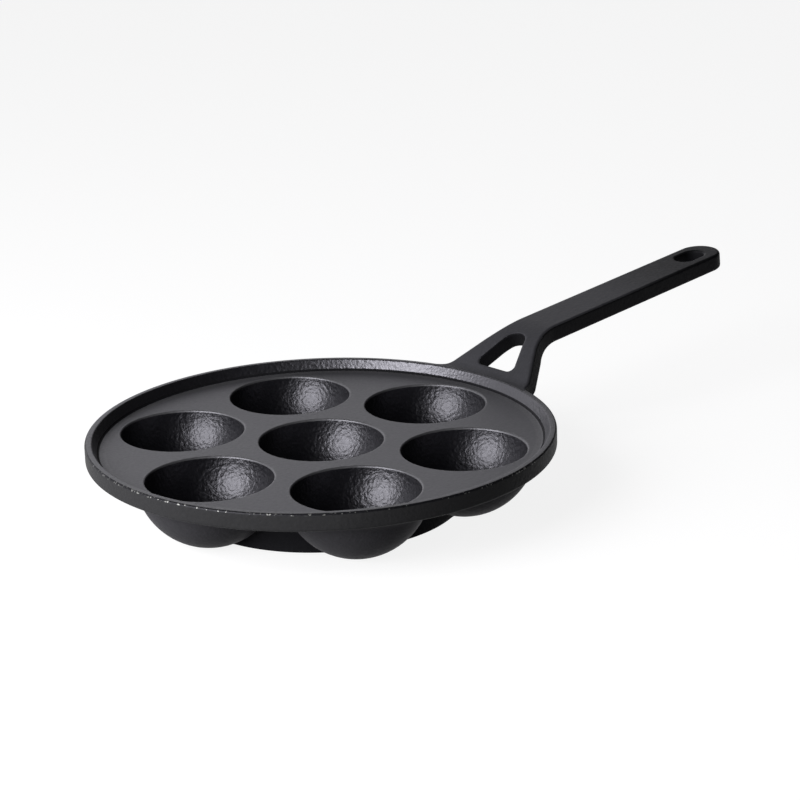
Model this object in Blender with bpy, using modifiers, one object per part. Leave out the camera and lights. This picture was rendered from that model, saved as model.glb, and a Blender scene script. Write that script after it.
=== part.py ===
"""Paniyaram pan: a cast iron plate with seven round cups, a low rim and a forked handle.

The pan stands on the XY plane with its axis on Z, and its handle points along +X.
One real casting is modelled as its named regions, parted by fine gaps.
"""
import math

import bmesh
import bpy
from mathutils import Matrix, Vector, geometry

PART_NAME = "paniyaram_pan"

# Clearance between regions of the casting
GAP = 0.0003

# Cups
CUP_COUNT = 6
CUP_MOUTH_RADIUS = 0.0303
CUP_DEPTH = 0.0278
CUP_WALL = 0.0045
CUP_MOUTH_ROUND = 0.0008
BOWL_FLAT_RADIUS = 0.0050
BOWL_SPACING = 0.0017
CUP_TURN = math.radians(1.5)

# Deck and rim
DECK_THICKNESS = 0.0034
DECK_BORDER = 0.0042
RIM_RISE = 0.0054
RIM_WALL_ANGLE = math.radians(62.7)
RIM_FOOT_ROUND = 0.0033
RIM_WIDTH = 0.0034
RIM_TOP_ROUND = 0.0012
RIM_BOTTOM_ROUND = 0.0013

# Ring of webs under the deck
RING_INSET = 0.0033
RING_WALL = 0.0045
WEB_SPAN = math.radians(44)

# Handle, side view: level at the rim, up the fork, then along the grip
HANDLE_THICKNESS = 0.0088
HANDLE_EDGE_ROUND = 0.0015
ROOT_BEND_RADIUS = 0.0090
RISE_ANGLE = math.radians(36.1)
RISE_REACH = 0.0254
NECK_BEND_RADIUS = 0.045
GRIP_ANGLE = math.radians(4.9)

# Handle as a flat pattern, measured from the pan's wall along its top
HANDLE_LENGTH = 0.1810
GRIP_WIDTH = 0.0238
TIP_LENGTH = 0.0119
ARM_ANGLE = math.radians(27.9)
ARM_LENGTH = 0.0314
NECK_PLAN_RADIUS = 0.050
ROOT_PLAN_RADIUS = 0.010
NECK_TO_GRIP = 0.0150

# Opening in the fork
OPENING_WEB = 0.0046
OPENING_LENGTH = 0.0237
OPENING_WIDTH = 0.0234
OPENING_CORNER_RADIUS = 0.0030
OPENING_TIP_RADIUS = 0.0063

# Hanging hole
HOLE_LENGTH = 0.0178
HOLE_WIDTH = 0.0112
HOLE_END_DISTANCE = 0.0191

# Fineness of round shapes
CUP_SIDES = 32
BOWL_RINGS = 8
PAN_SIDES = 96
ARC_STEP = math.radians(15)
WIDE_ARC_STEP = math.radians(6)

# Sizes that follow
INNER_BOWL_RADIUS = (CUP_MOUTH_RADIUS ** 2 + CUP_DEPTH ** 2) / (2 * CUP_DEPTH)
CUP_SPACING = 2 * (CUP_MOUTH_RADIUS + CUP_WALL) + BOWL_SPACING
DECK_RADIUS = CUP_SPACING + CUP_MOUTH_RADIUS + DECK_BORDER
RIM_FOOT_RADIUS = DECK_RADIUS + RIM_FOOT_ROUND * math.tan(RIM_WALL_ANGLE / 2)
RIM_INNER_RADIUS = RIM_FOOT_RADIUS + RIM_RISE / math.tan(RIM_WALL_ANGLE)
PAN_RADIUS = RIM_INNER_RADIUS + RIM_WIDTH
BOWL_CENTRE_Z = math.sqrt((INNER_BOWL_RADIUS + CUP_WALL) ** 2 - BOWL_FLAT_RADIUS ** 2)
DECK_TOP = BOWL_CENTRE_Z - INNER_BOWL_RADIUS + CUP_DEPTH
DECK_BOTTOM = DECK_TOP - DECK_THICKNESS
RIM_TOP = DECK_TOP + RIM_RISE
RING_RADIUS = CUP_SPACING - RING_INSET
WALL_RADIUS = PAN_RADIUS + GAP
NECK_X = PAN_RADIUS + ARM_LENGTH
GRIP_START_X = NECK_X + NECK_TO_GRIP
TIP_X = PAN_RADIUS + HANDLE_LENGTH
TIP_CENTRE_X = TIP_X - TIP_LENGTH
HOLE_X = TIP_X - HOLE_END_DISTANCE
ROOT_BEND_RUN = ROOT_BEND_RADIUS * math.tan(RISE_ANGLE / 2)
NECK_BEND_RUN = NECK_BEND_RADIUS * math.tan((RISE_ANGLE - GRIP_ANGLE) / 2)
BEND_START_X = PAN_RADIUS - ROOT_BEND_RUN
OPENING_X = WALL_RADIUS + OPENING_WEB


def clear_scene():
    """Remove what the scene holds."""
    for thing in list(bpy.data.objects):
        bpy.data.objects.remove(thing, do_unlink=True)


def new_collection(name):
    """Make a collection under the scene's own."""
    collection = bpy.data.collections.new(name)
    bpy.context.scene.collection.children.link(collection)
    return collection


def place_in(thing, collection):
    """Keep an object in one collection alone."""
    for owner in list(thing.users_collection):
        owner.objects.unlink(thing)
    collection.objects.link(thing)


def iron(name, colour, roughness):
    """Seasoned cast iron in one region's tone."""
    material = bpy.data.materials.new(name)
    material.use_nodes = True
    shader = material.node_tree.nodes["Principled BSDF"]
    shader.inputs["Base Color"].default_value = (*colour, 1.0)
    shader.inputs["Roughness"].default_value = roughness
    shader.inputs["Metallic"].default_value = 0.6
    material.diffuse_color = (*colour, 1.0)
    return material


def finish_part(thing, collection, colour, roughness):
    """Put a finished region in the part's collection with its material."""
    place_in(thing, collection)
    thing.data.materials.clear()
    thing.data.materials.append(iron(thing.name + "_iron", colour, roughness))
    thing.data.shade_smooth()
    thing.data.set_sharp_from_angle(angle=math.radians(35))


def as_cutter(thing, collection):
    """Put a cutter aside, out of the render."""
    place_in(thing, collection)
    thing.hide_render = True
    thing.display_type = "WIRE"
    return thing


def combine(thing, other, operation):
    """Cut or limit an object with another one."""
    modifier = thing.modifiers.new(operation.lower() + "_" + other.name, "BOOLEAN")
    modifier.operation = operation
    modifier.solver = "EXACT"
    modifier.object = other


def turned(name, profile, sides, closed):
    """Turn a profile of (radius, height) points about Z."""
    mesh = bpy.data.meshes.new(name)
    points = [(radius, 0.0, height) for radius, height in profile]
    edges = [(i, i + 1) for i in range(len(points) - 1)]
    if closed:
        edges.append((len(points) - 1, 0))
    mesh.from_pydata(points, edges, [])
    thing = bpy.data.objects.new(name, mesh)
    bpy.context.scene.collection.objects.link(thing)
    screw = thing.modifiers.new("turn", "SCREW")
    screw.axis = "Z"
    screw.angle = math.tau
    screw.steps = sides
    screw.render_steps = sides
    screw.use_merge_vertices = True
    screw.merge_threshold = 0.00001
    screw.use_smooth_shade = True
    return thing


def prism(name, outline, half_height, rounding=0.0):
    """Thicken a flat outline, with any holes in it, to both sides of the XY plane, with rounded edges."""
    curve = bpy.data.curves.new(name, "CURVE")
    curve.dimensions = "2D"
    curve.fill_mode = "BOTH"
    curve.extrude = half_height - rounding
    curve.bevel_depth = rounding
    curve.bevel_resolution = 1
    curve.offset = -rounding
    for loop in outline:
        spline = curve.splines.new("POLY")
        spline.points.add(len(loop) - 1)
        for point, (x, y) in zip(spline.points, loop):
            point.co = (x, y, 0.0, 1.0)
        spline.use_cyclic_u = True
    drawn = bpy.data.objects.new(name + "_outline", curve)
    bpy.context.scene.collection.objects.link(drawn)
    bpy.context.view_layer.update()
    evaluated = drawn.evaluated_get(bpy.context.evaluated_depsgraph_get())
    mesh = bpy.data.meshes.new_from_object(evaluated)
    mesh.name = name
    shape = bmesh.new()
    shape.from_mesh(mesh)
    bmesh.ops.remove_doubles(shape, verts=shape.verts, dist=0.000001)
    bmesh.ops.recalc_face_normals(shape, faces=shape.faces)
    shape.to_mesh(mesh)
    shape.free()
    thing = bpy.data.objects.new(name, mesh)
    thing.matrix_world = drawn.matrix_world
    bpy.context.scene.collection.objects.link(thing)
    bpy.data.objects.remove(drawn, do_unlink=True)
    bpy.data.curves.remove(curve)
    return thing


def arc(centre, radius, start, end, step=ARC_STEP):
    """Points on an arc from one angle to another, both ends included."""
    count = max(1, math.ceil(abs(end - start) / step))
    turns = [start + (end - start) * i / count for i in range(count + 1)]
    return [(centre[0] + radius * math.cos(a), centre[1] + radius * math.sin(a)) for a in turns]


def rounded_corner(before, corner, after, radius, step=WIDE_ARC_STEP):
    """Points of an arc that rounds the corner between two straight runs."""
    here = Vector(corner)
    back = (Vector(before) - here).normalized()
    ahead = (Vector(after) - here).normalized()
    half = back.angle(ahead) / 2
    centre = here + (back + ahead).normalized() * (radius / math.sin(half))
    first = here + back * (radius / math.tan(half)) - centre
    last = here + ahead * (radius / math.tan(half)) - centre
    start = math.atan2(first.y, first.x)
    sweep = math.remainder(math.atan2(last.y, last.x) - start, math.tau)
    return arc(centre, radius, start, start + sweep, step)


def hull_of_circles(circles):
    """The taut loop round some circles, each (x, y, radius)."""
    points = []
    for x, y, radius in circles:
        points += arc((x, y), radius, 0.0, math.tau)[:-1]
    return [points[i] for i in geometry.convex_hull_2d(points)]


def bowl_width(offset, height):
    """Radius of the cup's sphere, grown by an offset, at a height."""
    return math.sqrt((INNER_BOWL_RADIUS + offset) ** 2 - (BOWL_CENTRE_Z - height) ** 2)


def bowl_arc(offset, top, flat=0.0):
    """Profile down the cup's sphere, grown by an offset, from a height to a flat foot or the axis."""
    radius = INNER_BOWL_RADIUS + offset
    first = math.asin(bowl_width(offset, top) / radius)
    last = math.asin(flat / radius)
    turns = [first + (last - first) * i / BOWL_RINGS for i in range(BOWL_RINGS + 1)]
    points = [(radius * math.sin(a), BOWL_CENTRE_Z - radius * math.cos(a)) for a in turns]
    if flat:
        points.append((0.0, points[-1][1]))
    return points


def cup_places():
    """Name and centre of each cup: one on the axis and the others round it."""
    places = [("cup_center", (0.0, 0.0))]
    for i in range(CUP_COUNT):
        angle = CUP_TURN + math.tau * i / CUP_COUNT
        places.append((f"cup_{i + 1}", (CUP_SPACING * math.cos(angle), CUP_SPACING * math.sin(angle))))
    return places


def mouth_cutter(name):
    """The hollow of a cup with its rounded mouth, reaching above the deck."""
    start = DECK_TOP - CUP_MOUTH_ROUND
    reach = bowl_width(0.0, start)
    lip = arc((reach + CUP_MOUTH_ROUND, start), CUP_MOUTH_ROUND, math.pi / 2, math.pi, 3 * ARC_STEP)
    above = [(0.0, RIM_TOP), (reach + CUP_MOUTH_ROUND, RIM_TOP)]
    return turned(name, above + lip[:-1] + bowl_arc(0.0, start), CUP_SIDES, closed=False)


def make_deck(parts, cutters):
    """The flat plate with the seven cup mouths."""
    bpy.ops.mesh.primitive_cylinder_add(
        vertices=PAN_SIDES, radius=DECK_RADIUS - GAP, depth=DECK_THICKNESS,
        location=(0.0, 0.0, DECK_TOP - DECK_THICKNESS / 2))
    deck = bpy.context.active_object
    deck.name = "deck"
    for name, (x, y) in cup_places():
        cutter = as_cutter(mouth_cutter(name + "_mouth"), cutters)
        cutter.location = (x, y, 0.0)
        combine(deck, cutter, "DIFFERENCE")
    finish_part(deck, parts, (0.085, 0.085, 0.092), 0.55)


def make_rim(parts):
    """The rim: a slanting inner wall, a narrow top and an upright outer wall."""
    top = RIM_TOP_ROUND
    foot = RIM_BOTTOM_ROUND
    deck = (DECK_RADIUS, DECK_TOP)
    corner = (RIM_FOOT_RADIUS, DECK_TOP)
    edge = (RIM_INNER_RADIUS, RIM_TOP)
    inside = (RIM_INNER_RADIUS + top, RIM_TOP)
    profile = rounded_corner(deck, corner, edge, RIM_FOOT_ROUND, ARC_STEP * 2)
    profile += rounded_corner(corner, edge, inside, top / 2, ARC_STEP * 2)
    profile += arc((PAN_RADIUS - top, RIM_TOP - top), top, math.pi / 2, 0.0, ARC_STEP * 2)
    profile += arc((PAN_RADIUS - foot, DECK_BOTTOM + foot), foot, 0.0, -math.pi / 2, ARC_STEP * 2)
    profile += [(DECK_RADIUS, DECK_BOTTOM)]
    rim = turned("rim", profile, PAN_SIDES, closed=True)
    finish_part(rim, parts, (0.10, 0.10, 0.105), 0.5)


def make_cups(parts):
    """The seven bowls, each seated against the underside of the deck."""
    top = DECK_BOTTOM - GAP
    profile = bowl_arc(0.0, top)[::-1] + bowl_arc(CUP_WALL, top, BOWL_FLAT_RADIUS)
    for name, (x, y) in cup_places():
        cup = turned(name, profile, CUP_SIDES, closed=False)
        cup.location = (x, y, 0.0)
        finish_part(cup, parts, (0.065, 0.065, 0.07), 0.6)


def make_webs(parts, cutters):
    """The ring under the deck: a web between each two neighbouring bowls, which the pan stands on."""
    height = DECK_BOTTOM - GAP
    bowls = []
    for name, (x, y) in cup_places()[1:]:
        profile = [(0.0, DECK_TOP)] + bowl_arc(CUP_WALL + GAP, DECK_TOP)
        bowl = as_cutter(turned(name + "_bowl", profile, CUP_SIDES, closed=False), cutters)
        bowl.location = (x, y, 0.0)
        bowls.append(bowl)
    for i in range(CUP_COUNT):
        middle = CUP_TURN + math.tau * (i + 0.5) / CUP_COUNT
        first, last = middle - WEB_SPAN / 2, middle + WEB_SPAN / 2
        outer = arc((0.0, 0.0), RING_RADIUS, first, last, WIDE_ARC_STEP)
        inner = arc((0.0, 0.0), RING_RADIUS - RING_WALL, last, first, WIDE_ARC_STEP)
        web = prism(f"web_{i + 1}", [outer + inner], height / 2)
        web.location.z = height / 2
        combine(web, bowls[i], "DIFFERENCE")
        combine(web, bowls[(i + 1) % CUP_COUNT], "DIFFERENCE")
        finish_part(web, parts, (0.06, 0.06, 0.065), 0.65)


def handle_stretches():
    """The handle's top line as (length, curvature), from the start of its bend at the rim."""
    rise = RISE_REACH / math.cos(RISE_ANGLE) - ROOT_BEND_RUN - NECK_BEND_RUN
    return [
        (ROOT_BEND_RADIUS * RISE_ANGLE, 1 / ROOT_BEND_RADIUS),
        (rise, 0.0),
        (NECK_BEND_RADIUS * (RISE_ANGLE - GRIP_ANGLE), -1 / NECK_BEND_RADIUS),
        (HANDLE_LENGTH, 0.0),
    ]


def bent(x, height):
    """Where a point of the flat handle, at some height over its top, lies on the bent one."""
    place = Vector((BEND_START_X, RIM_TOP))
    heading = 0.0
    left = x - BEND_START_X
    if left < 0.0:
        place.x = x
        left = 0.0
    for length, curvature in handle_stretches():
        run = min(left, length)
        turn = heading + curvature * run
        if curvature:
            place += Vector((math.sin(turn) - math.sin(heading), math.cos(heading) - math.cos(turn))) / curvature
        else:
            place += Vector((math.cos(heading), math.sin(heading))) * run
        heading = turn
        left -= run
    return place + Vector((-math.sin(heading), math.cos(heading))) * height


def bend_handle(thing):
    """Cut a flat handle piece across its bends and move it onto the handle's line."""
    bpy.context.view_layer.update()
    evaluated = thing.evaluated_get(bpy.context.evaluated_depsgraph_get())
    mesh = bpy.data.meshes.new_from_object(evaluated)
    shape = bmesh.new()
    shape.from_mesh(mesh)
    start = BEND_START_X
    for length, curvature in handle_stretches()[:3]:
        steps = max(1, math.ceil(abs(length * curvature) / WIDE_ARC_STEP))
        for i in range(steps + 1):
            everything = list(shape.verts) + list(shape.edges) + list(shape.faces)
            station = (start + length * i / steps, 0.0, 0.0)
            bmesh.ops.bisect_plane(shape, geom=everything, plane_co=station, plane_no=(1.0, 0.0, 0.0), dist=0.000001)
        start += length
    for vert in shape.verts:
        x, z = bent(vert.co.x, vert.co.z)
        vert.co.x = x
        vert.co.z = z
    bmesh.ops.triangulate(shape, faces=shape.faces)
    shape.to_mesh(mesh)
    shape.free()
    thing.modifiers.clear()
    thing.data = mesh
    thing.location = (0.0, 0.0, 0.0)


def handle_outline():
    """The flat handle: it spreads from the grip's width to the pan's wall."""
    half = GRIP_WIDTH / 2
    neck = Vector((NECK_X, half))
    along = Vector((-math.cos(ARM_ANGLE), math.sin(ARM_ANGLE)))
    across = Vector((math.sin(ARM_ANGLE), math.cos(ARM_ANGLE)))
    offset = neck + across * ROOT_PLAN_RADIUS
    reach = WALL_RADIUS + ROOT_PLAN_RADIUS
    slope = offset.dot(along)
    travel = -slope - math.sqrt(slope ** 2 - offset.length_squared + reach ** 2)
    centre = offset + along * travel
    wall_angle = math.atan2(centre.y, centre.x)
    line_angle = math.atan2(-across.y, -across.x)
    root = arc(centre, ROOT_PLAN_RADIUS, wall_angle - math.pi, line_angle)
    inside = tuple(centre.normalized() * (WALL_RADIUS - RIM_WIDTH))
    on_line = tuple(neck + along * travel)
    quarter = arc((0.0, 0.0), 1.0, math.pi / 2, 0.0, ARC_STEP / 2)
    tip = [(TIP_CENTRE_X + x * TIP_LENGTH, y * half) for x, y in quarter]
    upper = [inside] + root + rounded_corner(on_line, tuple(neck), tip[0], NECK_PLAN_RADIUS) + tip
    lower = [(x, -y) for x, y in reversed(upper[:-1])]
    return upper + lower


def fork_opening():
    """The rounded triangle through the fork."""
    corner = OPENING_CORNER_RADIUS
    tip = OPENING_TIP_RADIUS
    side = OPENING_WIDTH / 2 - corner
    return hull_of_circles([
        (OPENING_X + corner, side, corner),
        (OPENING_X + corner, -side, corner),
        (OPENING_X + OPENING_LENGTH - tip, 0.0, tip),
    ])


def hanging_hole():
    """The long hole near the grip's end."""
    radius = HOLE_WIDTH / 2
    run = HOLE_LENGTH / 2 - radius
    return hull_of_circles([(HOLE_X - run, 0.0, radius), (HOLE_X + run, 0.0, radius)])


def make_handle(parts, cutters):
    """Fork and grip: one flat outline, rounded, parted, bent to its line and fitted to the wall."""
    wall = [(0.0, 2 * RIM_TOP), (WALL_RADIUS, 2 * RIM_TOP), (WALL_RADIUS, -RIM_TOP), (0.0, -RIM_TOP)]
    pan = as_cutter(turned("pan_wall", wall, PAN_SIDES, closed=False), cutters)
    outline = [handle_outline(), fork_opening(), hanging_hole()]
    spans = {"handle_fork": (0.0, GRIP_START_X), "handle_grip": (GRIP_START_X + GAP, 2 * TIP_X)}
    for name, (start, end) in spans.items():
        block = [(start, -PAN_RADIUS), (end, -PAN_RADIUS), (end, PAN_RADIUS), (start, PAN_RADIUS)]
        span = as_cutter(prism(name + "_span", [block], 3 * HANDLE_THICKNESS), cutters)
        piece = prism(name, outline, HANDLE_THICKNESS / 2, HANDLE_EDGE_ROUND)
        combine(piece, span, "INTERSECT")
        piece.data.transform(Matrix.Translation((0.0, 0.0, -HANDLE_THICKNESS / 2)))
        bend_handle(piece)
        combine(piece, pan, "DIFFERENCE")
        finish_part(piece, parts, (0.09, 0.09, 0.095), 0.5)


def main():
    """Model the whole pan."""
    clear_scene()
    parts = new_collection(PART_NAME)
    cutters = new_collection(PART_NAME + "_cutters")
    make_deck(parts, cutters)
    make_rim(parts)
    make_cups(parts)
    make_webs(parts, cutters)
    make_handle(parts, cutters)


main()
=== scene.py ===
"""Paniyaram pan: seasoned cast iron with seven round cups, a low rim and a forked handle."""
import math

import bmesh
import bpy
from mathutils import Matrix, Vector, geometry


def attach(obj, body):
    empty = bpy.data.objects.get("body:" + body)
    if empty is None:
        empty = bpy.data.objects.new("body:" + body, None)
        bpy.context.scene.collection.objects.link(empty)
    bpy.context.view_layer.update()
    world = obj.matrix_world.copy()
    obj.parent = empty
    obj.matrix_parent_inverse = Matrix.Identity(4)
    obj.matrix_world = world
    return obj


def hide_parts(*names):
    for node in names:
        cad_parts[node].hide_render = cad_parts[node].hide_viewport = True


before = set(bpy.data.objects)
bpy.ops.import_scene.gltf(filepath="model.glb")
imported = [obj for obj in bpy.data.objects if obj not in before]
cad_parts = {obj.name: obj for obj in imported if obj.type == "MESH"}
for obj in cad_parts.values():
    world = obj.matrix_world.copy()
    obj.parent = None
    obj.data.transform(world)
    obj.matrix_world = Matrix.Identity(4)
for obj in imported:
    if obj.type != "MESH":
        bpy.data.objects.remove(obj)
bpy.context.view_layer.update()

MM = 0.001

# Cups, six round a middle one, in metres as everything here
CUP_COUNT = 6
CUP_TURN = math.radians(1.5)
CUP_SPACING = 71.3 * MM
MOUTH_RADIUS = 30.3 * MM
MOUTH_ROUND = 0.9 * MM
LIP_FLAT = 0.1 * MM
BOWL_RADIUS = 30.412 * MM
BOWL_WALL = 4.5 * MM
BOWL_CENTRE_Z = 34.553 * MM
BOWL_FILLET = 5.0 * MM
BOWL_WALL_FILLET = 9.5 * MM
BOWL_TOP = 28.5 * MM
CUP_EDGE = MOUTH_RADIUS + 1.3 * MM

# Deck and rim
DECK_TOP = 31.941 * MM
DECK_BOTTOM = 28.541 * MM
DECK_EDGE = 103.9 * MM
RIM_TOP = 37.341 * MM
RIM_FOOT = 107.81 * MM
RIM_INNER = 110.598 * MM
PAN_RADIUS = 114.0 * MM
COVE_RADIUS = 2.2 * MM
RIM_INNER_ROUND = 0.9 * MM
RIM_OUTER_ROUND = 1.2 * MM
RIM_BOTTOM_ROUND = 1.3 * MM
HANDLE_CLEARANCE = 0.01 * MM

# Ring of webs under the deck
RING_OUTER = 68.0 * MM
RING_WALL = 4.5 * MM
WEB_FILLET = 3.0 * MM
WEB_FADE = 4.0 * MM
WEB_EDGE_ROUND = 1.0 * MM
WEB_SINK = 1.6 * MM
WEB_END = 8.6 * MM

# Handle, as a flat pattern and as the line that it is bent to
HANDLE_THICKNESS = 8.8 * MM
HANDLE_EDGE_ROUND = 1.5 * MM
HANDLE_SEAT = 111.25 * MM
HANDLE_ROOT = HANDLE_SEAT - 5.0 * MM
ROOT_BEND_RADIUS = 9.0 * MM
RISE_ANGLE = math.radians(36.1)
RISE_REACH = 25.4 * MM
NECK_BEND_RADIUS = 45.0 * MM
GRIP_ANGLE = math.radians(4.9)
BEND_START = PAN_RADIUS - ROOT_BEND_RADIUS * math.tan(RISE_ANGLE / 2)
HANDLE_LENGTH = 181.0 * MM
GRIP_WIDTH = 23.8 * MM
TIP_LENGTH = 11.9 * MM
ARM_ANGLE = math.radians(27.9)
ARM_LENGTH = 31.4 * MM
NECK_PLAN_RADIUS = 50.0 * MM
ROOT_PLAN_RADIUS = 10.0 * MM
OPENING_START = 4.9 * MM
OPENING_LENGTH = 23.7 * MM
OPENING_WIDTH = 23.4 * MM
OPENING_CORNER_RADIUS = 3.0 * MM
OPENING_TIP_RADIUS = 6.3 * MM
HOLE_LENGTH = 17.8 * MM
HOLE_WIDTH = 11.2 * MM
HOLE_END_DISTANCE = 19.1 * MM

# Fineness
CUP_SIDES = 144
RIM_SIDES = 432
BOWL_RINGS = 30
WEB_ROWS = 16
WEB_COLUMNS = 48
EDGE_ARCS = 4
ARC_STEP = math.radians(7.5)
BEND_STEP = math.radians(1.5)
LEAST_BEND_STEPS = 4
GRIP_STEP = 10.0 * MM
GRIP_STEPS = 15
SHARP_ANGLE = math.radians(50)
WELD = 0.001 * MM
HANDLE_WELD = 0.03 * MM
HAIR = 0.0001 * MM

# How far a face's normal points up where one finish ends and the next begins
LEVEL_TOP = 0.97
# Faces of the corner between deck and rim that are darkened, painted shade in the crease
SHADED_CORNER_LOW, SHADED_CORNER_HIGH = 0.6, 0.95
OUTER_EDGE_LOW = 0.2
HANDLE_TOP_LOW = 0.5
DECK_UNDERSIDE_HIGH = -0.5

# Iron: its grain in waves to the metre, and where along the handle the grip darkens
CLOUD_SCALE = 22.0
SWELL_SCALE = 150.0
SAND_SCALE = 560.0
FACET_SCALE = 620.0
DUST_SCALE = 2400.0
BARE_TONE = (0.22, 0.22, 0.21)
SHEEN_TINT = (0.93, 0.92, 1.0)
DARKENING_START = 190.0 * MM
DARKENING_END = 260.0 * MM

# Light
BACKDROP_AZIMUTH = math.radians(106.0)
BACKDROP_FULL = 0.75
BAND_LOW, BAND_HIGH = 0.25, 0.85
OVERHEAD_GLOW = 0.01
HORIZON_GLOW = 0.02
BACKDROP_GLOW = 0.97
STUDIO_TINT = (0.97, 0.965, 1.0)
LAMP_TINT = (0.98, 0.975, 1.0)
LAMP_AZIMUTH = math.radians(178.0)
LAMP_ELEVATION = math.radians(27.0)
LAMP_DISTANCE = 1.0
LAMP_SIZE = 0.84
LAMP_POWER = 16.0
LAMP_AIM = (0.0, 0.0, 0.03)
FLOOR_RADIUS = 6.0
FLOOR_SIDES = 96
FLOOR_TONE = 0.13
FLOOR_GLOW_SEEN = 0.86
FLOOR_TONE_SEEN = 0.25

# Camera, with places in the picture counted in pixels
PICTURE_SIZE = 800
DECK_CENTRE_X, DECK_CENTRE_Y = 320.9, 438.9
FOCAL_PIXELS = 2600.0
SENSOR_WIDTH = 36.0
CAMERA_AZIMUTH = math.radians(-130.7)
CAMERA_ELEVATION = math.radians(19.446)
CAMERA_ROLL = math.radians(2.376)
CAMERA_DISTANCE = 1259.85 * MM
CAMERA_REACH = 30.0

# Outputs of nodes, by their place on the node
GENERATED, OBJECT_PLACE = 0, 3
CAMERA_RAY, GLOSSY_RAY, TRANSMISSION_RAY = 0, 3, 6
BACKFACING = 6


class Wire:
    """A shader socket that joins in Python arithmetic."""

    def __init__(self, board, socket):
        self.board = board
        self.socket = socket

    def maths(self, operation, *values):
        """Join values in a Math node."""
        sockets = dict(enumerate(values))
        return self.board.node("ShaderNodeMath", {"operation": operation}, sockets)[0]

    def __add__(self, other):
        return self.maths("ADD", self, other)

    def __sub__(self, other):
        return self.maths("SUBTRACT", self, other)

    def __rsub__(self, other):
        return self.maths("SUBTRACT", other, self)

    def __mul__(self, other):
        return self.maths("MULTIPLY", self, other)

    __radd__ = __add__
    __rmul__ = __mul__

    def over(self, low, high):
        """0 under a low value, 1 over a high one, smooth between."""
        settings = {"interpolation_type": "SMOOTHSTEP"}
        sockets = {"Value": self, "From Min": low, "From Max": high}
        return self.board.node("ShaderNodeMapRange", settings, sockets)[0]


class Board:
    """The nodes of one material or world."""

    def __init__(self, tree):
        self.tree = tree
        tree.nodes.clear()

    def node(self, kind, settings=None, sockets=None):
        """Add a node and give back its outputs as wires."""
        made = self.tree.nodes.new(kind)
        for name, value in (settings or {}).items():
            setattr(made, name, value)
        for name, value in (sockets or {}).items():
            if isinstance(value, Wire):
                self.tree.links.new(value.socket, made.inputs[name])
            else:
                made.inputs[name].default_value = value
        return [Wire(self, socket) for socket in made.outputs]

    def blend(self, share, first, second):
        """A colour between two others."""
        sockets = {"Factor": share, 6: first, 7: second}
        return self.node("ShaderNodeMix", {"data_type": "RGBA"}, sockets)[2]


def colour(red, green, blue, strength=1.0):
    """A colour with full alpha."""
    return (red * strength, green * strength, blue * strength, 1.0)


def grey(value):
    """A colour with no hue."""
    return colour(value, value, value)


def cast_iron(name, tone, gloss, sheen, grain, sparkle, bare=0.0, darker_to_end=False):
    """Seasoned cast iron: sand grain, cloudy seasoning and small facets.

    A share of it can be worn bare in spots, and the grip can grow darker towards its end.
    """
    material = bpy.data.materials.new(name)
    material.use_nodes = True
    board = Board(material.node_tree)
    place = board.node("ShaderNodeTexCoord")[OBJECT_PLACE]

    def noise(scale, detail):
        sockets = {"Vector": place, "Scale": scale, "Detail": detail, "Roughness": 0.55}
        return board.node("ShaderNodeTexNoise", {}, sockets)[0]

    clouds = noise(CLOUD_SCALE, 3.0)
    sand = noise(SAND_SCALE, 1.0)
    dust = noise(DUST_SCALE, 1.0)
    swell = noise(SWELL_SCALE, 2.0)
    facets = board.node("ShaderNodeTexVoronoi", {"feature": "F1"},
                        {"Vector": place, "Scale": FACET_SCALE})[0]

    # Tone that varies at random with the noise
    mottle = clouds.over(0.3, 0.7) * 0.35 + sand * 0.5 + dust * 0.3
    seasoned = board.blend(mottle, colour(*tone, 0.75), colour(*tone, 1.3))
    spots = (noise(FACET_SCALE, 1.0) * 0.7 + clouds * 0.3).over(1.0 - bare, 1.05 - bare)
    surface = board.blend(spots, seasoned, colour(*BARE_TONE))
    # The grip grows darker towards its end
    if darker_to_end:
        along = board.node("ShaderNodeSeparateXYZ", {}, {0: place})[0]
        surface = board.blend(along.over(DARKENING_START, DARKENING_END), surface, colour(*tone, 0.15))
    roughness = gloss + (clouds - 0.5) * 0.10 + (sand - 0.5) * 0.16
    height = sand * 1.2 + dust * 0.2 + swell * 0.5 + facets * 0.6 * sparkle
    bump = board.node("ShaderNodeBump", {}, {
        "Strength": 1.0, "Distance": grain, "Height": height,
    })[0]
    shader = board.node("ShaderNodeBsdfPrincipled", {}, {
        "Base Color": surface, "Roughness": roughness, "Metallic": spots, "Normal": bump,
        "Specular IOR Level": sheen, "Specular Tint": colour(*SHEEN_TINT),
    })[0]
    board.node("ShaderNodeOutputMaterial", {}, {"Surface": shader})
    return material


def new_piece(name, mesh, finishes, slot, *nodes, choose=None):
    """Give a mesh its object, its finishes, chosen face by face, and its place in the part."""
    piece = bpy.data.objects.new(name, mesh)
    bpy.context.scene.collection.objects.link(piece)
    for material in finishes:
        mesh.materials.append(material)
    if choose:
        for face in mesh.polygons:
            face.material_index = choose(face)
    mesh.shade_smooth()
    mesh.set_sharp_from_angle(angle=SHARP_ANGLE)
    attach(piece, "root")
    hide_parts(*nodes)
    return piece


def mesh_from(name, shape):
    """Turn a bmesh into a mesh with its faces outward."""
    bmesh.ops.recalc_face_normals(shape, faces=shape.faces)
    mesh = bpy.data.meshes.new(name)
    shape.to_mesh(mesh)
    shape.free()
    return mesh


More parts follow.
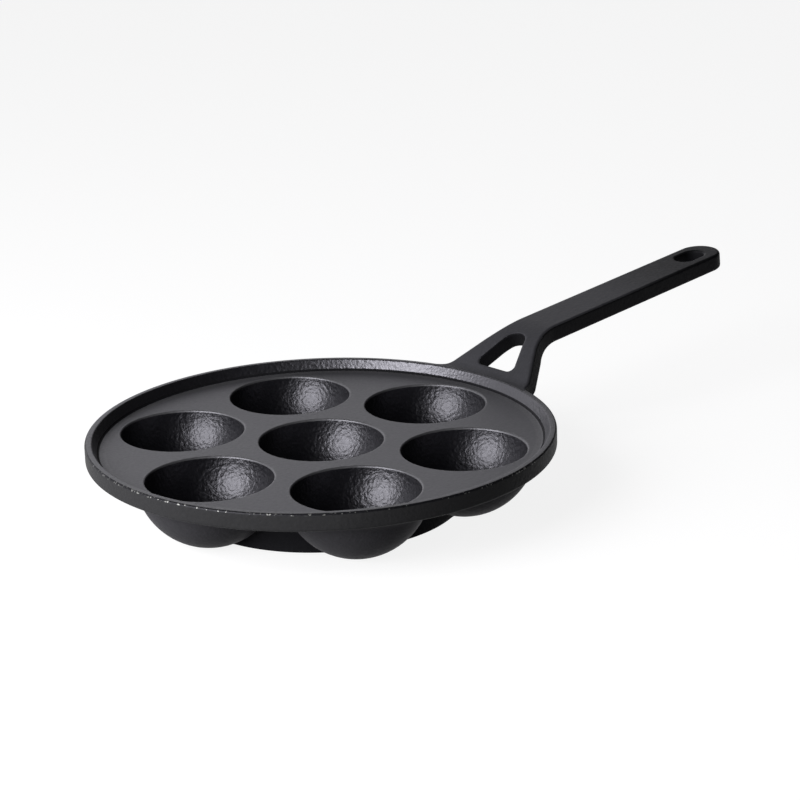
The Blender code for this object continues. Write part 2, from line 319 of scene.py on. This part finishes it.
def turned(name, profile, sides, centre=(0.0, 0.0)):
    """Turn a closed run of (radius, height) points about an upright axis."""
    shape = bmesh.new()
    turns = [math.tau * k / sides for k in range(sides)]
    rings = []
    for radius, height in profile:
        if radius < HAIR:
            rings.append([shape.verts.new((*centre, height))] * sides)
            continue
        ring = []
        for turn in turns:
            x = centre[0] + radius * math.cos(turn)
            y = centre[1] + radius * math.sin(turn)
            ring.append(shape.verts.new((x, y, height)))
        rings.append(ring)
    for here, there in zip(rings, rings[1:] + rings[:1]):
        for k in range(sides):
            after = (k + 1) % sides
            corners = []
            for vert in (here[k], here[after], there[after], there[k]):
                if vert not in corners:
                    corners.append(vert)
            if len(corners) > 2:
                shape.faces.new(corners)
    return mesh_from(name, shape)


def settled(thing):
    """The final mesh of an object, which is then removed."""
    bpy.context.view_layer.update()
    evaluated = thing.evaluated_get(bpy.context.evaluated_depsgraph_get())
    mesh = bpy.data.meshes.new_from_object(evaluated)
    bpy.data.objects.remove(thing, do_unlink=True)
    return mesh


def prism(name, outline, half_height, rounding=0.0):
    """Thicken a flat outline, with any holes in it, up and down, and round its edges."""
    curve = bpy.data.curves.new(name, "CURVE")
    curve.dimensions = "2D"
    curve.fill_mode = "BOTH"
    curve.extrude = half_height - rounding
    curve.bevel_depth = rounding
    curve.bevel_resolution = EDGE_ARCS
    curve.offset = -rounding
    for loop in outline:
        spline = curve.splines.new("POLY")
        spline.points.add(len(loop) - 1)
        for point, (x, y) in zip(spline.points, loop):
            point.co = (x, y, 0.0, 1.0)
        spline.use_cyclic_u = True
    drawn = bpy.data.objects.new(name + "_outline", curve)
    bpy.context.scene.collection.objects.link(drawn)
    mesh = settled(drawn)
    bpy.data.curves.remove(curve)
    shape = bmesh.new()
    shape.from_mesh(mesh)
    bmesh.ops.remove_doubles(shape, verts=shape.verts, dist=WELD)
    bmesh.ops.recalc_face_normals(shape, faces=shape.faces)
    shape.to_mesh(mesh)
    shape.free()
    return mesh


def arc(centre, radius, start, end, step=ARC_STEP):
    """Points on an arc from one angle to another, both ends included."""
    count = max(1, math.ceil(abs(end - start) / step))
    turns = [start + (end - start) * i / count for i in range(count + 1)]
    return [(centre[0] + radius * math.cos(a), centre[1] + radius * math.sin(a)) for a in turns]


def rounded_corner(before, corner, after, radius, step=ARC_STEP):
    """Points of an arc that rounds the corner between two straight runs."""
    here = Vector(corner)
    back = (Vector(before) - here).normalized()
    ahead = (Vector(after) - here).normalized()
    half = back.angle(ahead) / 2
    centre = here + (back + ahead).normalized() * (radius / math.sin(half))
    first = here + back * (radius / math.tan(half)) - centre
    last = here + ahead * (radius / math.tan(half)) - centre
    start = math.atan2(first.y, first.x)
    sweep = math.remainder(math.atan2(last.y, last.x) - start, math.tau)
    return arc(centre, radius, start, start + sweep, step)


def hull_of_circles(circles):
    """The taut loop round some circles, each (x, y, radius)."""
    points = []
    for x, y, radius in circles:
        points += arc((x, y), radius, 0.0, math.tau)[:-1]
    return [points[i] for i in geometry.convex_hull_2d(points)]


def circle(centre, radius, sides):
    """Corners of a round outline."""
    return arc(centre, radius, 0.0, math.tau, math.tau / sides)[:-1]


def cup_places():
    """Node name and centre of each cup."""
    places = [("cup_center", (0.0, 0.0))]
    for i in range(CUP_COUNT):
        angle = CUP_TURN + math.tau * i / CUP_COUNT
        centre = (CUP_SPACING * math.cos(angle), CUP_SPACING * math.sin(angle))
        places.append((f"cup_{i + 1}", centre))
    return places


def sphere_width(radius, height):
    """Radius of a cup's sphere at a height."""
    return math.sqrt(radius ** 2 - (BOWL_CENTRE_Z - height) ** 2)


def bowl_width(fillet, height):
    """Radius of a bowl's outside at a height, with a fillet that spreads it under the deck."""
    outer = BOWL_RADIUS + BOWL_WALL
    drop = BOWL_CENTRE_Z - BOWL_TOP + fillet
    reach = math.sqrt((outer + fillet) ** 2 - drop ** 2)
    if (BOWL_CENTRE_Z - height) * (outer + fillet) > drop * outer:
        return sphere_width(outer, height)
    return reach - math.sqrt(max(0.0, fillet ** 2 - (height - BOWL_TOP + fillet) ** 2))


def cup_profile():
    """The cup from its lip down its hollow, and up outside to the deck's underside."""
    lip_z = DECK_TOP - MOUTH_ROUND
    reach = sphere_width(BOWL_RADIUS, lip_z)
    profile = [(CUP_EDGE, DECK_TOP), (reach + MOUTH_ROUND + LIP_FLAT, DECK_TOP)]
    profile += arc((reach + MOUTH_ROUND, lip_z), MOUTH_ROUND, math.pi / 2, math.pi, 2 * ARC_STEP)
    first = math.asin(reach / BOWL_RADIUS)
    for i in range(1, BOWL_RINGS + 1):
        angle = first * (1 - i / BOWL_RINGS)
        height = BOWL_CENTRE_Z - BOWL_RADIUS * math.cos(angle)
        profile.append((BOWL_RADIUS * math.sin(angle), height))
    profile.append((0.0, 0.0))
    for i in range(BOWL_RINGS + 1):
        height = BOWL_TOP * (1 - math.cos(math.pi * i / BOWL_RINGS)) / 2
        profile.append((bowl_width(BOWL_FILLET, height), height))
    profile.append((CUP_EDGE, BOWL_TOP))
    return profile


def spread_bowl(mesh, centre):
    """Spread an outer bowl further on the side that meets the rim."""
    middle = Vector((*centre, BOWL_CENTRE_Z))
    for vert in mesh.vertices:
        away = vert.co.to_2d() - middle.to_2d()
        inside = (vert.co - middle).length < BOWL_RADIUS + BOWL_WALL / 2
        if inside or vert.co.z > BOWL_TOP or away.length < MM:
            continue
        facing = max(0.0, away.normalized().dot(middle.to_2d().normalized()))
        fillet = BOWL_FILLET + (BOWL_WALL_FILLET - BOWL_FILLET) * facing ** 2
        away *= bowl_width(fillet, vert.co.z) / away.length
        vert.co.xy = middle.to_2d() + away


def cup_finish(face, middle):
    """0 for the hollow, 1 for the outside, 2 for the lip, which takes the rim's paler finish."""
    if face.normal.z > 0.0 and face.center.z > DECK_TOP - MOUTH_ROUND:
        return 2
    return int(face.normal.z < 0.0 and (face.center - middle).dot(face.normal) > 0.0)


def make_cups(finishes):
    """Seven bowls with their lips, each let into the deck."""
    for name, centre in cup_places():
        mesh = turned(name + "_bowl", cup_profile(), CUP_SIDES, centre)
        middle = Vector((*centre, BOWL_CENTRE_Z))
        if name != "cup_center":
            spread_bowl(mesh, centre)
        new_piece(name + "_bowl", mesh, finishes, "cup_iron", name,
                  choose=lambda face: cup_finish(face, middle))


def make_deck(finishes):
    """The flat plate between the cups."""
    outline = [circle((0.0, 0.0), DECK_EDGE, RIM_SIDES)]
    outline += [circle(centre, CUP_EDGE, CUP_SIDES) for _, centre in cup_places()]
    mesh = prism("deck_plate", outline, (DECK_TOP - DECK_BOTTOM) / 2)
    mesh.transform(Matrix.Translation((0.0, 0.0, (DECK_TOP + DECK_BOTTOM) / 2)))
    new_piece("deck_plate", mesh, finishes, "deck_iron", "deck",
              choose=lambda face: int(face.normal.z < DECK_UNDERSIDE_HIGH))


def rim_finish(face):
    """0 top, 1 outer wall, 2 inner wall (painted shade), 3 outer edge (painted dark line), 4
    corner where the deck begins (painted shade).
    """
    reach = face.center.to_2d().length
    # The corner's faces take its dark finish, painted shade in the crease
    if reach < RIM_FOOT + MM and SHADED_CORNER_LOW < face.normal.z < SHADED_CORNER_HIGH:
        return 4
    if face.normal.z > LEVEL_TOP:
        return 0
    if reach < RIM_INNER + RIM_INNER_ROUND:
        return 2
    return 3 if face.normal.z > OUTER_EDGE_LOW else 1


def make_rim(finishes):
    """The rim: a cove out of the deck, a slanting inner wall, a narrow top and an outer wall."""
    top = RIM_TOP - HANDLE_CLEARANCE
    foot = (RIM_FOOT, DECK_TOP)
    crest = (RIM_INNER, top)
    shoulder = (PAN_RADIUS, top)
    hem = (PAN_RADIUS, DECK_BOTTOM)
    profile = [(DECK_EDGE, DECK_TOP)]
    profile += rounded_corner(profile[0], foot, crest, COVE_RADIUS)
    profile += rounded_corner(foot, crest, shoulder, RIM_INNER_ROUND)
    profile += rounded_corner(crest, shoulder, hem, RIM_OUTER_ROUND)
    profile += rounded_corner(shoulder, hem, (0.0, DECK_BOTTOM), RIM_BOTTOM_ROUND)
    profile.append((DECK_EDGE, DECK_BOTTOM))
    mesh = turned("rim_ring", profile, RIM_SIDES)
    new_piece("rim_ring", mesh, finishes, "rim_iron", "rim", choose=rim_finish)


def web_reach(radius, height):
    """Half the angle that a web spans at a place on it, up to its two bowls."""
    outer = BOWL_RADIUS + BOWL_WALL - WEB_SINK
    drop = BOWL_CENTRE_Z - height
    width = max(WEB_END, math.sqrt(max(0.0, outer ** 2 - drop ** 2)))
    cosine = (radius ** 2 + CUP_SPACING ** 2 - width ** 2) / (2 * radius * CUP_SPACING)
    return math.pi / CUP_COUNT - math.acos(min(1.0, max(-1.0, cosine)))


def web_fillet(gap):
    """How far a web swells at a distance from the bowl that it meets."""
    left = WEB_FILLET - max(0.0, gap)
    if left <= 0.0:
        return 0.0
    return WEB_FILLET - math.sqrt(WEB_FILLET ** 2 - left ** 2)


def web_section():
    """A web's section as (radius, height, side), down its outside and up its inside."""
    inner = RING_OUTER - RING_WALL
    edge = WEB_EDGE_ROUND
    down = [DECK_BOTTOM - (DECK_BOTTOM - edge) * i / WEB_ROWS for i in range(WEB_ROWS + 1)]
    outer_edge = arc((RING_OUTER - edge, edge), edge, 0.0, -math.pi / 2, 2 * ARC_STEP)[1:]
    inner_edge = arc((inner + edge, edge), edge, -math.pi / 2, -math.pi, 2 * ARC_STEP)
    outside = [(RING_OUTER, z, 1.0) for z in down] + [(x, z, 1.0) for x, z in outer_edge]
    inside = [(x, z, -1.0) for x, z in inner_edge]
    inside += [(inner, z, -1.0) for z in reversed(down[:-1])]
    return outside + inside


def make_webs(finishes):
    """The ring under the deck, one web between each two bowls, swelling into them."""
    for i in range(CUP_COUNT):
        middle = CUP_TURN + math.tau * (i + 0.5) / CUP_COUNT
        shape = bmesh.new()
        rows = []
        for radius, height, side in web_section():
            reach = web_reach(radius, height)
            row = []
            for k in range(WEB_COLUMNS + 1):
                share = -math.cos(math.pi * k / WEB_COLUMNS)
                gap = (1.0 - abs(share)) * reach * radius - WEB_SINK
                swell = radius + side * min(1.0, height / WEB_FADE) * web_fillet(gap)
                turn = middle + share * reach
                place = (swell * math.cos(turn), swell * math.sin(turn), height)
                row.append(shape.verts.new(place))
            rows.append(row)
        for here, there in zip(rows, rows[1:] + rows[:1]):
            for k in range(WEB_COLUMNS):
                shape.faces.new((here[k], here[k + 1], there[k + 1], there[k]))
        shape.faces.new([row[0] for row in rows])
        shape.faces.new([row[-1] for row in reversed(rows)])
        ends = [face for face in shape.faces if len(face.verts) > 4]
        bmesh.ops.triangulate(shape, faces=ends)
        name = f"web_{i + 1}"
        new_piece(name + "_wall", mesh_from(name, shape), finishes, "underside_iron", name)


def handle_stretches():
    """The handle's top line as (length, curvature), from the start of its bend at the rim."""
    root = ROOT_BEND_RADIUS * math.tan(RISE_ANGLE / 2)
    neck = NECK_BEND_RADIUS * math.tan((RISE_ANGLE - GRIP_ANGLE) / 2)
    return [
        (ROOT_BEND_RADIUS * RISE_ANGLE, 1 / ROOT_BEND_RADIUS),
        (RISE_REACH / math.cos(RISE_ANGLE) - root - neck, 0.0),
        (NECK_BEND_RADIUS * (RISE_ANGLE - GRIP_ANGLE), -1 / NECK_BEND_RADIUS),
        (HANDLE_LENGTH, 0.0),
    ]


def bent(x, height):
    """Where a point of the flat handle, at some height over its top, lies on the bent one."""
    place = Vector((min(x, BEND_START), RIM_TOP))
    heading = 0.0
    left = max(0.0, x - BEND_START)
    for length, curvature in handle_stretches():
        run = min(left, length)
        turn = heading + curvature * run
        if curvature:
            run_x = math.sin(turn) - math.sin(heading)
            run_z = math.cos(heading) - math.cos(turn)
            place += Vector((run_x, run_z)) / curvature
        else:
            place += Vector((math.cos(heading), math.sin(heading))) * run
        heading = turn
        left -= run
    return place + Vector((-math.sin(heading), math.cos(heading))) * height


def handle_outline():
    """The flat handle: it spreads from the grip's width to the pan's wall."""
    half = GRIP_WIDTH / 2
    neck = Vector((PAN_RADIUS + ARM_LENGTH, half))
    along = Vector((-math.cos(ARM_ANGLE), math.sin(ARM_ANGLE)))
    across = Vector((math.sin(ARM_ANGLE), math.cos(ARM_ANGLE)))
    offset = neck + across * ROOT_PLAN_RADIUS
    reach = PAN_RADIUS + ROOT_PLAN_RADIUS
    slope = offset.dot(along)
    travel = -slope - math.sqrt(slope ** 2 - offset.length_squared + reach ** 2)
    centre = offset + along * travel
    wall_angle = math.atan2(centre.y, centre.x)
    line_angle = math.atan2(-across.y, -across.x)
    root = arc(centre, ROOT_PLAN_RADIUS, wall_angle - math.pi, line_angle)
    inside = tuple(centre.normalized() * HANDLE_ROOT)
    tip_x = PAN_RADIUS + HANDLE_LENGTH - TIP_LENGTH
    quarter = arc((0.0, 0.0), 1.0, math.pi / 2, 0.0, ARC_STEP / 2)
    tip = [(tip_x + x * TIP_LENGTH, y * half) for x, y in quarter]
    arm = tuple(neck + along * travel)
    bend = rounded_corner(arm, tuple(neck), tip[0], NECK_PLAN_RADIUS, ARC_STEP / 3)
    upper = [inside] + root + bend + tip
    lower = [(x, -y) for x, y in reversed(upper[:-1])]
    return upper + lower


def fork_opening():
    """The rounded triangle through the fork."""
    corner = OPENING_CORNER_RADIUS
    tip = OPENING_TIP_RADIUS
    side = OPENING_WIDTH / 2 - corner
    start = PAN_RADIUS + OPENING_START
    return hull_of_circles([
        (start + corner, side, corner),
        (start + corner, -side, corner),
        (start + OPENING_LENGTH - tip, 0.0, tip),
    ])


def hanging_hole():
    """The long hole near the grip's end."""
    radius = HOLE_WIDTH / 2
    run = HOLE_LENGTH / 2 - radius
    x = PAN_RADIUS + HANDLE_LENGTH - HOLE_END_DISTANCE
    return hull_of_circles([(x - run, 0.0, radius), (x + run, 0.0, radius)])


def seated(flat):
    """Trim the flat handle to the pan's round wall."""
    round_wall = circle((0.0, 0.0), HANDLE_SEAT, RIM_SIDES)
    seat = prism("handle_seat", [round_wall], 2 * HANDLE_THICKNESS)
    blank = bpy.data.objects.new("handle_blank", flat)
    cutter = bpy.data.objects.new("handle_seat", seat)
    bpy.context.scene.collection.objects.link(blank)
    bpy.context.scene.collection.objects.link(cutter)
    trim = blank.modifiers.new("trim", "BOOLEAN")
    trim.operation = "DIFFERENCE"
    trim.solver = "EXACT"
    trim.object = cutter
    mesh = settled(blank)
    bpy.data.objects.remove(cutter, do_unlink=True)
    return mesh


def bend_stations():
    """Places along the flat handle where it is cut across, so that it can bend."""
    stations = []
    start = BEND_START
    for length, curvature in handle_stretches()[:3]:
        steps = max(LEAST_BEND_STEPS, math.ceil(abs(length * curvature) / BEND_STEP))
        stations += [start + length * i / steps for i in range(steps)]
        start += length
    return stations + [start + GRIP_STEP * i for i in range(GRIP_STEPS)]


def make_handle(finishes):
    """Fork and grip in one: a rounded flat pattern, trimmed to the rim and bent to its line."""
    outline = [handle_outline(), fork_opening(), hanging_hole()]
    flat = prism("handle", outline, HANDLE_THICKNESS / 2, HANDLE_EDGE_ROUND)
    flat.transform(Matrix.Translation((0.0, 0.0, -HANDLE_THICKNESS / 2)))
    shape = bmesh.new()
    shape.from_mesh(seated(flat))
    for x in bend_stations():
        everything = list(shape.verts) + list(shape.edges) + list(shape.faces)
        bmesh.ops.bisect_plane(shape, geom=everything, plane_co=(x, 0.0, 0.0),
                               plane_no=(1.0, 0.0, 0.0), dist=HAIR)
    bmesh.ops.remove_doubles(shape, verts=shape.verts, dist=HANDLE_WELD)
    for vert in shape.verts:
        vert.co.x, vert.co.z = bent(vert.co.x, vert.co.z)
    bmesh.ops.triangulate(shape, faces=shape.faces)
    mesh = mesh_from("handle_casting", shape)
    # Faces that don't point up take the darker side finish, painted shade
    piece = new_piece("handle_casting", mesh, finishes, "handle_iron",
                      "handle_fork", "handle_grip",
                      choose=lambda face: int(face.normal.z < HANDLE_TOP_LOW))
    flats = piece.modifiers.new("flats", "WEIGHTED_NORMAL")
    flats.keep_sharp = True
    flats.weight = 100


def make_world():
    """Soft studio light: pale round the horizon behind the pan, dim overhead and in front."""
    world = bpy.data.worlds.new("studio")
    bpy.context.scene.world = world
    world.use_nodes = True
    board = Board(world.node_tree)
    direction = board.node("ShaderNodeTexCoord")[GENERATED]
    x, y, z = board.node("ShaderNodeSeparateXYZ", {}, {0: direction})
    toward = x * math.cos(BACKDROP_AZIMUTH) + y * math.sin(BACKDROP_AZIMUTH)
    behind = toward.over(0.0, BACKDROP_FULL)
    band = 1.0 - z.over(BAND_LOW, BAND_HIGH)
    lit = OVERHEAD_GLOW + band * (HORIZON_GLOW + BACKDROP_GLOW * behind)
    seen = board.node("ShaderNodeLightPath")[CAMERA_RAY]
    strength = lit + seen * (1.0 - lit)
    sockets = {"Color": colour(*STUDIO_TINT), "Strength": strength}
    light = board.node("ShaderNodeBackground", {}, sockets)[0]
    board.node("ShaderNodeOutputWorld", {}, {"Surface": light})


def make_floor():
    """A pale floor that shows white and keeps the pan's shadow."""
    material = bpy.data.materials.new("floor_white")
    material.use_nodes = True
    board = Board(material.node_tree)
    path = board.node("ShaderNodeLightPath")
    seen = path[CAMERA_RAY] + path[GLOSSY_RAY] + path[TRANSMISSION_RAY]
    below = board.node("ShaderNodeNewGeometry")[BACKFACING]
    plain = board.node("ShaderNodeBsdfDiffuse", {}, {"Color": grey(FLOOR_TONE)})[0]
    glow = board.node("ShaderNodeEmission", {}, {"Color": grey(FLOOR_GLOW_SEEN)})[0]
    dim = board.node("ShaderNodeBsdfDiffuse", {}, {"Color": grey(FLOOR_TONE_SEEN)})[0]
    white = board.node("ShaderNodeAddShader", {}, {0: glow, 1: dim})[0]
    mixed = board.node("ShaderNodeMixShader", {}, {0: seen, 1: plain, 2: white})[0]
    clear = board.node("ShaderNodeBsdfTransparent")[0]
    surface = board.node("ShaderNodeMixShader", {}, {0: below, 1: mixed, 2: clear})[0]
    board.node("ShaderNodeOutputMaterial", {}, {"Surface": surface})
    shape = bmesh.new()
    bmesh.ops.create_circle(shape, cap_ends=True, segments=FLOOR_SIDES, radius=FLOOR_RADIUS)
    floor = bpy.data.objects.new("floor", mesh_from("floor", shape))
    bpy.context.scene.collection.objects.link(floor)
    floor.data.materials.append(material)


def outward(azimuth, elevation):
    """The direction at an azimuth and an elevation."""
    flat = math.cos(elevation)
    return Vector((math.cos(azimuth) * flat, math.sin(azimuth) * flat, math.sin(elevation)))


def make_lamp():
    """The key: a square soft lamp that faces the pan."""
    lamp = bpy.data.lights.new("key", "AREA")
    lamp.shape = "SQUARE"
    lamp.size = LAMP_SIZE
    lamp.energy = LAMP_POWER
    lamp.color = LAMP_TINT
    thing = bpy.data.objects.new("key", lamp)
    bpy.context.scene.collection.objects.link(thing)
    toward = outward(LAMP_AZIMUTH, LAMP_ELEVATION)
    thing.location = Vector(LAMP_AIM) + toward * LAMP_DISTANCE
    thing.rotation_euler = toward.to_track_quat("Z", "Y").to_euler()


def make_camera():
    """The photograph's camera: its place, its tilt and its long lens."""
    back = outward(CAMERA_AZIMUTH, CAMERA_ELEVATION)
    right = (-back).cross(Vector((0.0, 0.0, 1.0))).normalized()
    upward = right.cross(-back)
    facing = Matrix((right, upward, back)).transposed()
    middle = (PICTURE_SIZE - 1) / 2
    aside = (DECK_CENTRE_X - middle) / FOCAL_PIXELS
    down = (DECK_CENTRE_Y - middle) / FOCAL_PIXELS
    ray = Vector((aside, -down, -1.0)).normalized()
    ahead = Vector((0.0, 0.0, -1.0))
    swing = ray.rotation_difference(ahead).to_matrix()
    tilt = facing @ Matrix.Rotation(CAMERA_ROLL, 3, ahead) @ swing
    camera = bpy.data.cameras.new("camera")
    camera.sensor_width = SENSOR_WIDTH
    camera.lens = FOCAL_PIXELS * SENSOR_WIDTH / PICTURE_SIZE
    camera.clip_end = CAMERA_REACH
    thing = bpy.data.objects.new("camera", camera)
    bpy.context.scene.collection.objects.link(thing)
    spot = Vector((0.0, 0.0, DECK_TOP)) + back * CAMERA_DISTANCE
    thing.matrix_world = Matrix.Translation(spot) @ tilt.to_4x4()
    bpy.context.scene.camera = thing


def main():
    """Build, dress and light the pan."""
    bpy.context.scene.view_settings.view_transform = "Standard"
    make_camera()
    # One seasoned iron stands behind all these finishes; their tones and gloss differ region by
    # region, partly as painted light and shade
    deck = cast_iron("deck_iron", (0.046, 0.046, 0.050),
                     gloss=0.40, sheen=0.90, grain=0.06 * MM, sparkle=0.3)
    rim = cast_iron("rim_iron", (0.056, 0.056, 0.058),
                    gloss=0.42, sheen=1.15, grain=0.10 * MM, sparkle=0.5)
    # Inner wall: its near-black tone is painted shade; it has more sheen than the top
    cove = cast_iron("cove_painted_shade_iron", (0.004, 0.004, 0.005),
                     gloss=0.38, sheen=1.4, grain=0.18 * MM, sparkle=0.7)
    # Cup hollows: the same iron with its tone made near black, painted shade
    cup = cast_iron("cup_iron", (0.002, 0.002, 0.003),
                    gloss=0.36, sheen=0.80, grain=0.24 * MM, sparkle=0.4)
    # Corner where the deck meets the rim: a dark, dull copy of the iron, painted shade in the
    # crease
    corner = cast_iron("corner_painted_shade_iron", (0.008, 0.008, 0.009),
                       gloss=0.60, sheen=0.12, grain=0.12 * MM, sparkle=0.3)
    # Outer edge of the rim: its dark tone paints a shaded line; the bare spots in it are wear
    edge = cast_iron("edge_painted_shade_iron", (0.006, 0.006, 0.007),
                     gloss=0.45, sheen=0.25, grain=0.12 * MM, sparkle=0.5, bare=0.42)
    wall = cast_iron("wall_iron", (0.032, 0.032, 0.033),
                     gloss=0.50, sheen=0.04, grain=0.14 * MM, sparkle=0.5)
    under = cast_iron("underside_iron", (0.056, 0.055, 0.060),
                      gloss=0.55, sheen=0.03, grain=0.14 * MM, sparkle=0.4)
    # Webs: darker than the rest of the underside, painted shade between the bowls
    web = cast_iron("web_painted_shade_iron", (0.016, 0.016, 0.018),
                    gloss=0.55, sheen=0.02, grain=0.14 * MM, sparkle=0.4)
    # Handle top: darker towards the grip's end
    handle = cast_iron("handle_iron", (0.038, 0.038, 0.042),
                       gloss=0.46, sheen=0.24, grain=0.08 * MM, sparkle=0.5, darker_to_end=True)
    # Handle sides: darker than the top, painted shade
    side = cast_iron("handle_side_painted_shade_iron", (0.008, 0.008, 0.009),
                     gloss=0.55, sheen=0.05, grain=0.12 * MM, sparkle=0.4)
    make_deck([deck, under])
    make_rim([rim, wall, cove, edge, corner])
    make_cups([cup, under, rim])
    make_webs([web])
    make_handle([handle, side])
    make_world()
    make_floor()
    make_lamp()


main()
